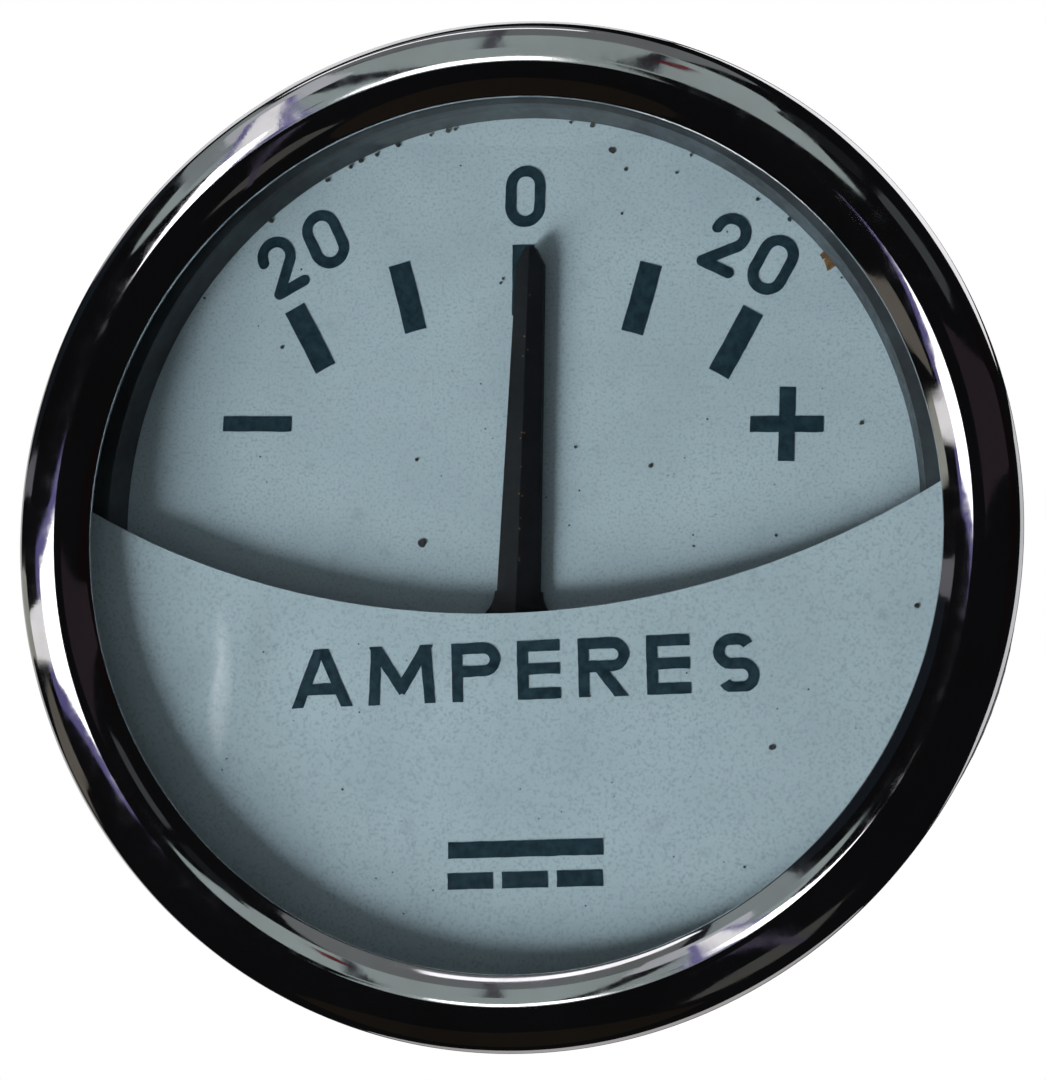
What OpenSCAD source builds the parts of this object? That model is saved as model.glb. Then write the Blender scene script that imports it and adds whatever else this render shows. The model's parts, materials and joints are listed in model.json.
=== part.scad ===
// Round panel ammeter, centre zero: a chrome bezel crimped on a drawn steel case,
// a two-level dial, a polarised moving-iron movement and a rear clamp bridge.
// Origin: centre of the bezel's rear face, which seats on the panel.
// The dial faces -Y, the studs point to +Y and +Z is up. Units are millimetres.
// Each piece is drawn with its axis along z, front upwards, and facing() turns it.

/* [Bezel] */
// Radius of the bezel at its widest
bezel_r = 28.5; // [28.2:0.1:30]
// Height of the bezel's crest above the panel
bezel_h = 4.5; // [4.4:0.05:5]
// Radius of the opening at the bezel's lip
lip_r = 24.2; // [24:0.05:24.5]
// Slope of the bezel's inner flank, in degrees
inner_slope = 22; // [18:1:24]
// Thickness of the bezel's sheet brass
bezel_sheet = 0.45; // [0.3:0.05:0.5]

/* [Case] */
// Outside radius of the barrel, which passes the panel hole
barrel_r = 25.5; // [25.4:0.1:25.7]
// Depth of the case behind the panel seat
case_depth = 19.6; // [19.6:0.2:26]
// Thickness of the case's sheet steel
case_sheet = 0.5; // [0.4:0.05:0.5]

/* [Dial] */
// Height of the raised mask plate's face
mask_top = 1.5; // [1.4:0.05:1.5]
// Height of the sunk scale plate's face, below the panel seat when negative
scale_top = -0.5; // [-0.7:0.05:-0.45]
// Radius of the smile-shaped edge of the mask plate
mask_edge_r = 49; // [44:1:60]
// Height of the lowest point of the mask's edge on the dial
mask_edge_y = -4.4; // [-5.5:0.1:-4.3]
// Turn of the mask plate against the scale plate, as it was assembled
mask_turn = 1.9; // [-3:0.1:3]
// Radius of the dark spacer ring's opening where it meets the scale plate
spacer_inner_r = 22.9; // [22.8:0.05:23.1]
// Flare of the spacer ring's opening from the scale plate up to the mask plate
spacer_flare = 0.55; // [0.3:0.05:0.6]
// Sideways place of the ring's opening, which was cut off centre
spacer_side = -0.4; // [-0.4:0.05:0.4]
// Height of the ring's opening above the dial's centre
spacer_rise = 0.8; // [0:0.05:0.8]

/* [Movement] */
// Sideways place of the pointer's pivot
pivot_x = -0.1; // [-0.5:0.1:0.5]
// Height of the pointer's pivot on the dial
pivot_y = -11.5; // [-12:0.1:-11]
// Length of the pointer from its pivot to its tip
pointer_len = 27.7; // [26:0.1:28]
// Lean of the pointer at rest, positive to the right, in degrees
pointer_lean = 1.4; // [-1.5:0.1:1.5]
// Radius of the pointer's moulded hub disc
hub_r = 7.3; // [7:0.1:7.5]
// Radius of the staff that carries the pointer
staff_r = 0.5; // [0.4:0.05:0.6]
// Swing of the pointer to each stop pin, in degrees
swing = 36; // [30:1:38]

/* [Terminals] */
// Distance between the two terminal studs
stud_spacing = 24; // [23:0.5:26]
// Outside radius of the stud's thread
stud_thread_r = 2.5; // [2.5:0.1:2.6]
// Reach of the terminal studs behind the panel seat
stud_reach = 33; // [32.5:0.5:38]

/* [Clamp bridge] */
// Thickness of the panel that the bridge is set for
panel_gap = 2.5; // [2.2:0.1:5]
// Width of the bridge's strip
bridge_w = 12; // [10:0.5:13]
// Distance of the bridge's crossbar behind the panel seat
bridge_back = 28; // [27:0.5:30]
// Turn of the bridge about its stud, as it was tightened
bridge_turn = -15; // [-18:1:-12]

/* [Hidden] */
$fn = 96;

// room left between pieces that touch, between turning pieces, and past a cut face
touch = 0.02;
running = 0.04;
past = 1;

// heights along the axis, zero at the panel seat, positive to the front
flange_bottom = bezel_sheet + touch;
flange_top = flange_bottom + 0.55;
glass_bottom = mask_top + touch;
mask_t = 0.4;
scale_t = 0.5;
back_t = 0.6;
case_back = -case_depth;
case_floor = case_back + back_t;
insulator_top = case_floor + 1;
strap_top = insulator_top + 1.5;
chassis_bottom = case_floor + 5.5;
chassis_top = chassis_bottom + 1.2;
cock_bottom = chassis_top + 8.1;
cock_top = cock_bottom + 1;
bush_flange_t = 1.2;
washer_t = 0.8;
nut_t = 3.2;
spring_t = 1;

// radii that follow from the ones above
bore_r = barrel_r - case_sheet;
plate_r = bore_r - 0.1;
flange_r = bore_r + 2.1;
glass_r = flange_r - 0.1;

// terminal stack, from the case back to the rear
bush_back = case_back - bush_flange_t;
washer_back = bush_back - washer_t;
clamp_nut_back = washer_back - nut_t;
spring_back = clamp_nut_back - spring_t;
terminal_nut_back = spring_back - nut_t;

// places on the dial plane
pivot = [pivot_x, pivot_y];
pillar_x = 14;
pillar_spots = [pivot + [-pillar_x, 0], pivot + [pillar_x, 0]];
post_spots = [[0, 17], [0, -20]];
stud_spots = [[-stud_spacing / 2, 0], [stud_spacing / 2, 0]];

// terminal stud: plain shank through the case, core of the thread inside the nuts, head
stud_shank_r = stud_thread_r + 0.2;
stud_core_r = stud_thread_r - 0.26;
stud_head_r = 4.2;
bush_hole_r = 4;

// other fasteners: corners of the nuts, threads of the dial, case and bracket screws
nut_corner_r = 4.62;
dial_thread_r = 0.9;
case_thread_r = 1.35;
case_head_r = 2.8;
bracket_r = 2;
bracket_head_r = 3.5;

// Turns a piece drawn along z so that its front faces -Y.
module facing() rotate([90, 0, 0]) children();

module at(spots) for (p = spots) translate([p.x, p.y, 0]) children();

// Solid or hollow cylinder between two heights.
module disc(r, low, high, hole = 0) {
  translate([0, 0, low])
    difference() {
      cylinder(r = r, h = high - low);
      if (hole > 0) translate([0, 0, -past]) cylinder(r = hole, h = high - low + 2 * past);
    }
}

// A flat plate between two heights, from a 2D outline.
module plate(low, high) translate([0, 0, low]) linear_extrude(high - low) children();

// A bar with round ends, in the dial plane.
module round_bar(length, width) {
  square([length - width, width], center = true);
  for (s = [-1, 1]) translate([s * (length - width) / 2, 0]) circle(width / 2);
}

// Hexagon nut between two heights, with both faces chamfered.
module hex_nut(low, high, hole) {
  flat_r = nut_corner_r * cos(30);
  slope = (nut_corner_r - flat_r) / 2;
  difference() {
    intersection() {
      translate([0, 0, low]) cylinder(r = nut_corner_r, h = high - low, $fn = 6);
      rotate_extrude() polygon([[0, low], [flat_r, low], [nut_corner_r, low + slope],
                                [nut_corner_r, high - slope], [flat_r, high], [0, high]]);
    }
    translate([0, 0, low - past]) cylinder(r = hole, h = high - low + 2 * past);
  }
}

// Cheese-head screw pointing down: head between the two heights, shank below it.
module slotted_screw(head_r, low, high, shank_r, length) {
  difference() {
    union() {
      disc(head_r, low, high);
      disc(shank_r, low - length, low + touch);
    }
    translate([-head_r - past, -head_r / 6, (low + high) / 2])
      cube([2 * (head_r + past), head_r / 3, high - low]);
  }
}

// ---- bezel section: bends joined by their tangents, in radius and height ----
crest_bend_r = 0.55;
shoulder_r = 0.9;
roll_r = 0.8;
flank_r = 6;
crest_c = [lip_r + 1.85, bezel_h - crest_bend_r];
shoulder_c = [bezel_r - shoulder_r, bezel_h - 1.15];
roll_c = [bezel_r - 1.4, roll_r];
return_r = lip_r + 1.7;
bead_r = bezel_sheet / 2;

// Points along an arc about a centre.
function arc(centre, r, from, to, steps) =
  [for (i = [0 : steps]) let (a = from + (to - from) * i / steps) centre + r * [cos(a), sin(a)]];

// Angle of the outward normal of the straight line that touches disc a and then disc b.
function tangent_angle(a, ra, b, rb) =
  let (run = b - a) atan2(run.y, run.x) + acos((ra - rb) / norm(run));

// Centre of the large arc that runs on from disc a into disc b.
function wrap_centre(a, ra, b, rb, big) =
  let (run = b - a, size = norm(run), along = run / size, la = big - ra, lb = big - rb,
       t = (la * la - lb * lb + size * size) / (2 * size))
  a + along * t - [-along.y, along.x] * sqrt(la * la - t * t);

flank_c = wrap_centre(crest_c, crest_bend_r, shoulder_c, shoulder_r, flank_r);
inner_normal = 90 + inner_slope;
crest_end = atan2(crest_c.y - flank_c.y, crest_c.x - flank_c.x);
shoulder_start = atan2(shoulder_c.y - flank_c.y, shoulder_c.x - flank_c.x);
skirt_normal = tangent_angle(shoulder_c, shoulder_r, roll_c, roll_r);

// The sheet's end at the lip is half round and lies on the sheet's middle line.
sheet_middle = (crest_bend_r - bead_r) * [cos(inner_normal), sin(inner_normal)];
bead_x = lip_r + bead_r;
bead_c = [bead_x, crest_c.y + sheet_middle.y - (crest_c.x + sheet_middle.x - bead_x) * tan(inner_slope)];
glass_top = bead_c.y - bead_r - touch;

// The bezel's face from the crest to the rear, taken in by a distance.
function bezel_face(inset) = concat(
  arc(crest_c, crest_bend_r - inset, inner_normal, crest_end, 10),
  arc(flank_c, flank_r - inset, crest_end, shoulder_start, 5),
  arc(shoulder_c, shoulder_r - inset, shoulder_start, skirt_normal, 10),
  arc(roll_c, roll_r - inset, skirt_normal, -90, 10),
  [[return_r, inset]]);

function backwards(list) = [for (i = [len(list) - 1 : -1 : 0]) list[i]];

module bezel_section() polygon(concat(
  arc(bead_c, bead_r, inner_normal + 180, inner_normal, 8),
  bezel_face(0),
  backwards(bezel_face(bezel_sheet))));

module bezel() color("silver") facing() rotate_extrude($fn = 180) bezel_section();

module glass() color([0.85, 0.92, 0.92, 0.3]) facing() disc(glass_r, glass_bottom, glass_top);

module glass_gasket() color("dimgray") facing()
  disc(glass_r, flange_top, glass_bottom - touch, hole = plate_r + 0.2);

// ---- dial ----
module front_mask() color([0.58, 0.64, 0.66]) facing() rotate(mask_turn)
  plate(mask_top - mask_t, mask_top) difference() {
    circle(plate_r);
    translate([0, mask_edge_y + mask_edge_r]) circle(mask_edge_r);
    translate([-plate_r, mask_edge_y + mask_edge_r]) square(2 * plate_r);
  }

module spacer_ring() color([0.16, 0.2, 0.21]) facing() difference() {
  low = scale_top + touch;
  high = mask_top - mask_t - touch;
  mouth_r = spacer_inner_r + spacer_flare;
  disc(plate_r, low, high);
  translate([spacer_side, spacer_rise, 0]) rotate_extrude()
    polygon([[0, low - past], [spacer_inner_r, low - past], [spacer_inner_r, low],
             [mouth_r, high], [mouth_r, high + past], [0, high + past]]);
}

module scale_plate() color([0.55, 0.62, 0.64]) facing()
  plate(scale_top - scale_t, scale_top) difference() {
    circle(plate_r);
    translate(pivot) circle(pointer_boss_r + 0.8);
    at(pillar_spots) circle(dial_thread_r + 0.2);
  }

dial_head_r = 1.9;
dial_head_h = 1;
dial_screw_len = 7;

module dial_screws() color("goldenrod") facing() at(pillar_spots)
  slotted_screw(dial_head_r, scale_top + touch, scale_top + dial_head_h, dial_thread_r - touch,
                dial_screw_len);

module dial_spacers() color("goldenrod") facing() at(pillar_spots)
  disc(dial_head_r - 0.1, cock_top + touch, scale_top - scale_t - touch, hole = dial_thread_r + touch);

// ---- case ----
module case_section() {
  corner_r = 1.2;
  corner_c = [barrel_r - corner_r, case_back + corner_r];
  translate([bore_r, flange_bottom]) square([flange_r - bore_r, flange_top - flange_bottom]);
  translate([bore_r, corner_c.y]) square([case_sheet, flange_top - corner_c.y]);
  translate([0, case_back]) square([corner_c.x, back_t]);
  intersection() {
    difference() {
      translate(corner_c) circle(corner_r);
      translate([0, case_floor]) square([bore_r, corner_r]);
    }
    translate([corner_c.x, case_back]) square(corner_r);
  }
}

module case() color("lightgray") facing() difference() {
  rotate_extrude($fn = 180) case_section();
  at(stud_spots) disc(bush_hole_r, case_back - past, case_floor + past);
  at(post_spots) disc(case_thread_r + 0.25, case_back - past, case_floor + past);
  disc(bracket_r + touch, case_back - past, case_floor + past);
}

// ---- movement frame ----
cock_w = 6;
cock_eye_r = 4.6;

module front_cock() color("goldenrod") facing() plate(cock_bottom, cock_top) difference() {
  translate(pivot) union() {
    round_bar(2 * pillar_x + cock_w, cock_w);
    circle(cock_eye_r);
  }
  translate(pivot) circle(front_bearing_r + touch);
  at(pillar_spots) circle(dial_thread_r + 0.1);
  at(pin_spots) circle(pin_r + touch);
}

arm_t = 0.6;
arm_half_w = 0.6;
arm_low = cock_bottom - 2.4;
arm_high = arm_low + arm_t;
pin_r = 0.5;
pin_orbit = 3.7;
pin_angle = swing + asin((arm_half_w + pin_r + 0.05) / pin_orbit);
pin_spots = [for (s = [-1, 1]) pivot + pin_orbit * [s * sin(pin_angle), -cos(pin_angle)]];

module stop_pins() color("silver") facing() at(pin_spots) disc(pin_r, arm_low - 0.3, cock_top);

front_bearing_r = 1;

module front_bearing() color("gold") facing() translate(pivot) difference() {
  union() {
    disc(front_bearing_r, cock_bottom - 0.3, cock_top + 0.1);
    disc(front_bearing_r + 0.7, cock_top + touch, cock_top + 0.5);
  }
  disc(staff_r + running, cock_bottom - past, cock_top + past);
}

pillar_r = 2;
pillar_spigot_r = 1.1;

module movement_pillars() color("goldenrod") facing() at(pillar_spots) difference() {
  union() {
    disc(pillar_r, chassis_top + touch, cock_bottom - touch);
    disc(pillar_spigot_r, chassis_bottom - 0.3, chassis_top + 2 * touch);
  }
  disc(dial_thread_r, cock_bottom - dial_screw_len + past, cock_bottom + past);
}

chassis_r = 23.5;
chassis_w = 36;

module chassis_plate() color("goldenrod") facing() plate(chassis_bottom, chassis_top) difference() {
  intersection() {
    circle(chassis_r);
    square([chassis_w, 2 * bore_r], center = true);
  }
  // windows that lighten the plate, clear of the magnet's seat
  for (s = [-1, 1]) translate([s * 14, 9]) circle(5.5);
  translate([0, 8.5]) circle(4);
  translate(pivot) circle(rear_bearing_r + touch);
  at(pillar_spots) circle(pillar_spigot_r + touch);
  at(post_spots) circle(post_spigot_r + touch);
  translate(clamp_spot) circle(dial_thread_r);
}

rear_bearing_r = 1.6;

module rear_bearing() color("gold") facing() translate(pivot) difference() {
  union() {
    disc(rear_bearing_r, chassis_bottom - 0.4, chassis_top + 0.2);
    disc(rear_bearing_r + 0.5, chassis_top + touch, chassis_top + 0.5);
  }
  disc(staff_r + running, chassis_bottom - 2, chassis_top + past);
}

post_r = 2.5;
post_spigot_r = 1.5;

module chassis_posts() color("goldenrod") facing() at(post_spots) difference() {
  union() {
    disc(post_r, case_floor + touch, chassis_bottom - touch);
    disc(post_spigot_r, chassis_bottom - 0.3, chassis_top + 0.2);
    disc(2.2, chassis_top + touch, chassis_top + 0.45);
  }
  disc(case_thread_r + touch, case_floor - past, case_floor + 4);
}

module case_screws() color("silver") facing() at(post_spots) rotate([180, 0, 0])
  slotted_screw(case_head_r, -case_back + touch, -case_back + 1.7, case_thread_r, 3.6);

// ---- magnet: a horseshoe whose poles stand at both sides of the armature ----
magnet_outer_r = 11;
pole_gap = 13;
magnet_high = chassis_top + 3;
bend_y = 4.5;
pole_end_y = -4.5;
clamp_spot = pivot + [0, 6.8];
clamp_r = 2.4;
clamp_t = 0.8;
clamp_len = 12;
clamp_w = 5;

module magnet() color("darkslategray") facing() translate(pivot)
  plate(chassis_top + touch, magnet_high) difference() {
    union() {
      translate([0, bend_y]) circle(magnet_outer_r);
      translate([-magnet_outer_r, pole_end_y]) square([2 * magnet_outer_r, bend_y - pole_end_y]);
    }
    translate([0, bend_y]) circle(pole_gap / 2);
    translate([-pole_gap / 2, pole_end_y - 2 * magnet_outer_r])
      square([pole_gap, bend_y - pole_end_y + 2 * magnet_outer_r]);
  }

module magnet_clamp() color("goldenrod") facing() difference() {
  union() {
    translate(clamp_spot) disc(clamp_r, chassis_top + touch, magnet_high + clamp_t / 2);
    translate(clamp_spot) plate(magnet_high + touch, magnet_high + clamp_t)
      translate([0, (clamp_len - clamp_w) / 2]) rotate(90) round_bar(clamp_len, clamp_w);
  }
  translate(clamp_spot) disc(dial_thread_r + 0.1, chassis_bottom, magnet_high + clamp_t + past);
}

module magnet_screw() color("silver") facing() translate(clamp_spot)
  slotted_screw(dial_head_r, magnet_high + clamp_t + touch, magnet_high + clamp_t + dial_head_h,
                dial_thread_r - touch, 5);

// ---- moving system, turned by the pointer's lean about the pivot ----
module on_pivot() facing() translate(pivot) rotate(-pointer_lean) children();

armature_low = chassis_top + 0.95;
armature_t = 1;
armature_len = 11;
armature_w = 3.4;
weight_y = -7;
weight_r = 1.15;
pointer_low = scale_top + 0.35;
pointer_high = pointer_low + 0.8;
pointer_boss_r = 2.2;

module staff() color("silver") on_pivot() {
  disc(staff_r, chassis_bottom, pointer_high + 0.1);
  disc(1.1, armature_low - 0.35, armature_low - touch);
  disc(0.9, cock_bottom - 1.3, cock_bottom - 0.5);
}

module armature() color("slategray") on_pivot() plate(armature_low, armature_low + armature_t) difference() {
  intersection() {
    square([armature_len, armature_w], center = true);
    circle(armature_len / 2);
  }
  circle(staff_r + 0.01);
}

module balance_arm() color("gold") on_pivot() difference() {
  union() {
    plate(arm_low, arm_high) {
      translate([0, weight_y / 2]) rotate(90) round_bar(2 * arm_half_w - weight_y, 2 * arm_half_w);
      circle(1.5);
    }
    translate([0, weight_y]) disc(weight_r, arm_low - 1, arm_high + 0.6);
  }
  disc(staff_r + 0.01, arm_low - past, arm_high + past);
}

// Pointer blade in plan: a slow taper with a chamfered tip, growing out of the hub.
tip_half_w = 0.78;
root_half_w = 1.4;
flat_half_w = 0.25;
tip_chamfer = 0.95;
flare_r = 1.6;

module pointer_plan() {
  shoulder_y = pointer_len - tip_chamfer;
  circle(hub_r);
  polygon([[-root_half_w, 0], [root_half_w, 0], [tip_half_w, shoulder_y], [flat_half_w, pointer_len],
           [-flat_half_w, pointer_len], [-tip_half_w, shoulder_y]]);
  flare_x = root_half_w + flare_r - 0.06;
  flare_y = sqrt(pow(hub_r + flare_r, 2) - flare_x * flare_x);
  difference() {
    polygon([[-flare_x, flare_y], [flare_x, flare_y], [0, 0]]);
    for (s = [-1, 1]) translate([s * flare_x, flare_y]) circle(flare_r);
  }
}

// Roof over the blade: low at its edges and high along its centre line.
module pointer_roof() {
  eaves = pointer_high - 0.4;
  rotate([90, 0, 0]) translate([0, 0, -pointer_len - past])
    linear_extrude(pointer_len + past)
      polygon([[-3, pointer_low - past], [3, pointer_low - past], [3, eaves - 0.6],
               [root_half_w, eaves], [0, pointer_high], [-root_half_w, eaves], [-3, eaves - 0.6]]);
}

module pointer() color([0.08, 0.1, 0.12]) on_pivot() difference() {
  union() {
    intersection() {
      plate(pointer_low, pointer_high) pointer_plan();
      pointer_roof();
    }
    disc(hub_r, pointer_low, pointer_low + 0.5);
    disc(pointer_boss_r, pointer_low, pointer_high + 0.3);
    disc(1.2, pointer_low - 0.4, pointer_low + 0.1);
  }
  disc(staff_r + 0.01, pointer_low - past, pointer_high + past);
}

// ---- current path and terminals: a U-shaped strap joins the studs below the armature ----
strap_half_w = 4.2;
strap_reach = stud_spacing / 2 + strap_half_w;
strap_end_y = -15.5;
strap_rail = 7;
strap_corner = 5;

module conductor_strap() color("peru") facing() plate(insulator_top + touch, strap_top) difference() {
  union() {
    at(stud_spots) circle(strap_half_w);
    translate([-strap_reach, strap_end_y]) square([2 * strap_reach, -strap_end_y]);
  }
  translate([strap_half_w - stud_spacing / 2, strap_end_y + strap_rail])
    square([stud_spacing - 2 * strap_half_w, strap_half_w - strap_end_y]);
  for (s = [-1, 1]) translate([s * strap_reach, strap_end_y]) rotate(45) square(strap_corner, center = true);
  at(stud_spots) circle(stud_shank_r + touch);
}

module inner_insulator() color("saddlebrown") facing()
  plate(case_floor + touch, insulator_top) difference() {
    circle(bore_r - 1);
    at(stud_spots) circle(bush_hole_r - touch);
    at(post_spots) circle(post_r + 0.2);
    circle(bracket_head_r + 0.5);
  }

module terminal_stud() {
  disc(stud_head_r, strap_top + touch, strap_top + 1.8);
  disc(stud_shank_r, bush_back, strap_top + 2 * touch);
  disc(stud_core_r, terminal_nut_back - 0.3, bush_back + touch);
  chamfer = 0.5;
  rotate_extrude() polygon([[0, -stud_reach], [stud_thread_r - chamfer, -stud_reach],
                            [stud_thread_r, -stud_reach + chamfer],
                            [stud_thread_r, terminal_nut_back - 0.1], [0, terminal_nut_back - 0.1]]);
}

module terminal_stud_left() color("gold") facing() translate(stud_spots[0]) terminal_stud();

module terminal_stud_right() color("gold") facing() translate(stud_spots[1]) terminal_stud();

module insulating_bushes() color("saddlebrown") facing() at(stud_spots) difference() {
  union() {
    disc(5.6, bush_back + touch, case_back - touch);
    disc(bush_hole_r - 0.1, case_back - 0.1, insulator_top - touch);
  }
  disc(stud_shank_r + touch, bush_back - past, insulator_top + past);
}

module plain_washers() color("silver") facing() at(stud_spots)
  disc(5.2, washer_back + touch, bush_back - touch, hole = stud_core_r + touch);

module clamp_nuts() color("gold") facing() at(stud_spots)
  hex_nut(clamp_nut_back, washer_back, stud_core_r + touch);

module spring_washers() color("silver") facing() at(stud_spots) difference() {
  disc(4.1, spring_back + touch, clamp_nut_back - touch, hole = stud_core_r + touch);
  rotate(20) translate([0, -0.3, spring_back - past]) cube([8, 0.6, spring_t + 2 * past]);
}

module terminal_nuts() color("gold") facing() at(stud_spots)
  hex_nut(terminal_nut_back, spring_back, stud_core_r + touch);

// ---- rear clamp bridge ----
leg_inner = barrel_r + 0.8;
leg_t = 1.5;
bridge_rear = -bridge_back - leg_t;
bridge_washer_back = bridge_rear - 0.8;
knurl_h = 5;
knurl_back = bridge_washer_back - knurl_h;
knurl_r = 5.2;
knurl_count = 36;

module bracket_stud() color("silver") facing() {
  disc(bracket_head_r, case_floor + touch, case_floor + 0.7);
  disc(bracket_r, knurl_back - 1.7, case_floor + 2 * touch);
  disc(3.4, case_back - 1, case_back - touch);
}

// Outline of the bridge from the side: a U with bent corners.
module bridge_side() {
  bend = 3;
  outer = leg_inner + leg_t;
  module filled(x, y, r) {
    translate([-x + r, -y]) square([2 * (x - r), y - panel_gap]);
    translate([-x, -y + r]) square([2 * x, y - r - panel_gap]);
    for (s = [-1, 1]) translate([s * (x - r), -y + r]) circle(r);
  }
  difference() {
    filled(outer, -bridge_rear, bend);
    translate([0, past]) filled(leg_inner, bridge_back + past, bend - leg_t);
  }
}

module mounting_bridge() color("lightgray") facing() rotate(bridge_turn) difference() {
  rotate([90, 0, 90]) linear_extrude(bridge_w, center = true) bridge_side();
  disc(bracket_r + 0.3, bridge_rear - past, -bridge_back + past);
}

module bridge_washer() color("silver") facing()
  disc(4.5, bridge_washer_back, bridge_rear - touch, hole = bracket_r + 0.2);

// One flank and one crest of the knurl for each ridge.
knurl_points = [for (i = [0 : knurl_count - 1], s = [0 : 1])
                let (a = 360 * (i + s / 2) / knurl_count, r = knurl_r - 0.35 * s)
                r * [cos(a), sin(a)]];

module knurled_nut() color("gold") facing() difference() {
  intersection() {
    plate(knurl_back, bridge_washer_back - touch) polygon(knurl_points);
    rotate_extrude() polygon([[0, knurl_back], [knurl_r - 0.7, knurl_back], [knurl_r + 0.1, knurl_back + 0.8],
                              [knurl_r + 0.1, bridge_washer_back - 0.8],
                              [knurl_r - 0.7, bridge_washer_back], [0, bridge_washer_back]]);
  }
  disc(bracket_r + touch, knurl_back - past, bridge_washer_back + past);
}

bezel();
glass();
glass_gasket();
front_mask();
spacer_ring();
scale_plate();
case();
dial_screws();
dial_spacers();
front_cock();
stop_pins();
front_bearing();
movement_pillars();
chassis_plate();
rear_bearing();
chassis_posts();
case_screws();
magnet();
magnet_clamp();
magnet_screw();
staff();
pointer();
armature();
balance_arm();
conductor_strap();
inner_insulator();
terminal_stud_left();
terminal_stud_right();
insulating_bushes();
plain_washers();
clamp_nuts();
spring_washers();
terminal_nuts();
bracket_stud();
mounting_bridge();
bridge_washer();
knurled_nut();
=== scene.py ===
# %% [markdown]
# # A round panel ammeter, dressed for its portrait
#
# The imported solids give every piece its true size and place.
# This notebook gives them their finishes, prints the dial and adds the fine forms that solids leave out.
# Lengths are thought of in millimetres, with x to the right, y up the dial and z out of its face.

import json
import math
import random

import bmesh
import bpy
from mathutils import Color, Matrix, Quaternion, Vector, noise as solid_noise


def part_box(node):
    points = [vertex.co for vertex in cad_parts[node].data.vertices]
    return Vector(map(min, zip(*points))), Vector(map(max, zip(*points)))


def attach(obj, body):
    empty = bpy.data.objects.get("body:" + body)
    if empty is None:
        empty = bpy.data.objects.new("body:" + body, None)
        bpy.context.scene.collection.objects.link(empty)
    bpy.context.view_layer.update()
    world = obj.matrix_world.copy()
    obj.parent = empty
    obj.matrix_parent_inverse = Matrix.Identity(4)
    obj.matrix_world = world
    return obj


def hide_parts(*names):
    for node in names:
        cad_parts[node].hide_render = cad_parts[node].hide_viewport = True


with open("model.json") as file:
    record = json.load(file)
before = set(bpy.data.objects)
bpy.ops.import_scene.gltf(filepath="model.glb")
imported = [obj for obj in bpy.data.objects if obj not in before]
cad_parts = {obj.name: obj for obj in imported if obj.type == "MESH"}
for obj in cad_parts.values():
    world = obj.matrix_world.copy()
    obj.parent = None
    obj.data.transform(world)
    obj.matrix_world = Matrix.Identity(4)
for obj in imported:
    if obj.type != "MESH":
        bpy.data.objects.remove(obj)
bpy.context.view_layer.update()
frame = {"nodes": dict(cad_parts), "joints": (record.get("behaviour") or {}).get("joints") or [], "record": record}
nodes = frame["nodes"]

# %% [markdown]
# ## From the drawing board to the world
#
# Every new piece is drawn flat on a drawing board, in millimetres, and then turned to face the reader.
# One matrix does the turn and the change to metres, so no piece needs a place of its own.
# The heights of the two dial plates and the pivot's place are read from the solids.

# %% The turn from drawing to world
MM = 0.001
FACING = Matrix.Rotation(math.radians(90), 4, "X") @ Matrix.Scale(MM, 4)


def front_of(node):
    """Height of a solid's frontmost point on the drawing board, in millimetres."""
    return -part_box(node)[0].y / MM


def back_of(node):
    """Height of a solid's rearmost point on the drawing board, in millimetres."""
    return -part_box(node)[1].y / MM


scale_face = front_of("scale_plate")
mask_face = front_of("front_mask")
glass_face = front_of("glass")
pivot_at = frame["joints"][0]["pos_m"]
PIVOT = Vector((pivot_at[0] / MM, pivot_at[2] / MM, 0.0))
print("dial plates at", round(scale_face, 2), "and", round(mask_face, 2), "glass at", round(glass_face, 2))


# %% Finishing a piece
SHARP_DEGREES = 40


def of_kind(geometry, kind):
    """The items of one kind, such as bmesh.types.BMVert, in what a bmesh operator returns."""
    return [item for item in geometry if isinstance(item, kind)]


def make_object(name, shape, material):
    """Makes an object of one material from a bmesh, which is used up."""
    mesh = bpy.data.meshes.new(name)
    shape.to_mesh(mesh)
    shape.free()
    mesh.materials.append(material)
    made = bpy.data.objects.new(name, mesh)
    bpy.context.scene.collection.objects.link(made)
    return made


def finish_piece(name, shape, material, body="housing", smooth=False):
    """Turns a drawn shape to the front and makes it a piece that rides on a body.

    A smooth piece keeps a hard edge where its faces meet at more than SHARP_DEGREES.
    """
    bmesh.ops.transform(shape, matrix=FACING, verts=shape.verts)
    bmesh.ops.recalc_face_normals(shape, faces=shape.faces)
    for face in shape.faces:
        face.smooth = smooth
    piece = make_object(name, shape, material)
    if smooth:
        piece.data.set_sharp_from_angle(angle=math.radians(SHARP_DEGREES))
    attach(piece, body)
    print(name, len(piece.data.polygons), "faces")
    return piece


print("edges stay hard above", SHARP_DEGREES, "degrees")

# %% [markdown]
# ## The camera
#
# The meter is seen a little from the right and a little from below, from about a hand's breadth away.
# From so near, the wide bezel hides the case behind it. From further away the case would show beyond it.

# %% Camera
camera_azimuth = math.radians(14.64)
camera_elevation = math.radians(-5.16)
camera_roll = math.radians(0.8)
camera_distance = 0.21
camera_aside = 1.24 * MM
camera_above = -0.56 * MM
bezel_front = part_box("bezel")[0].y

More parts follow.
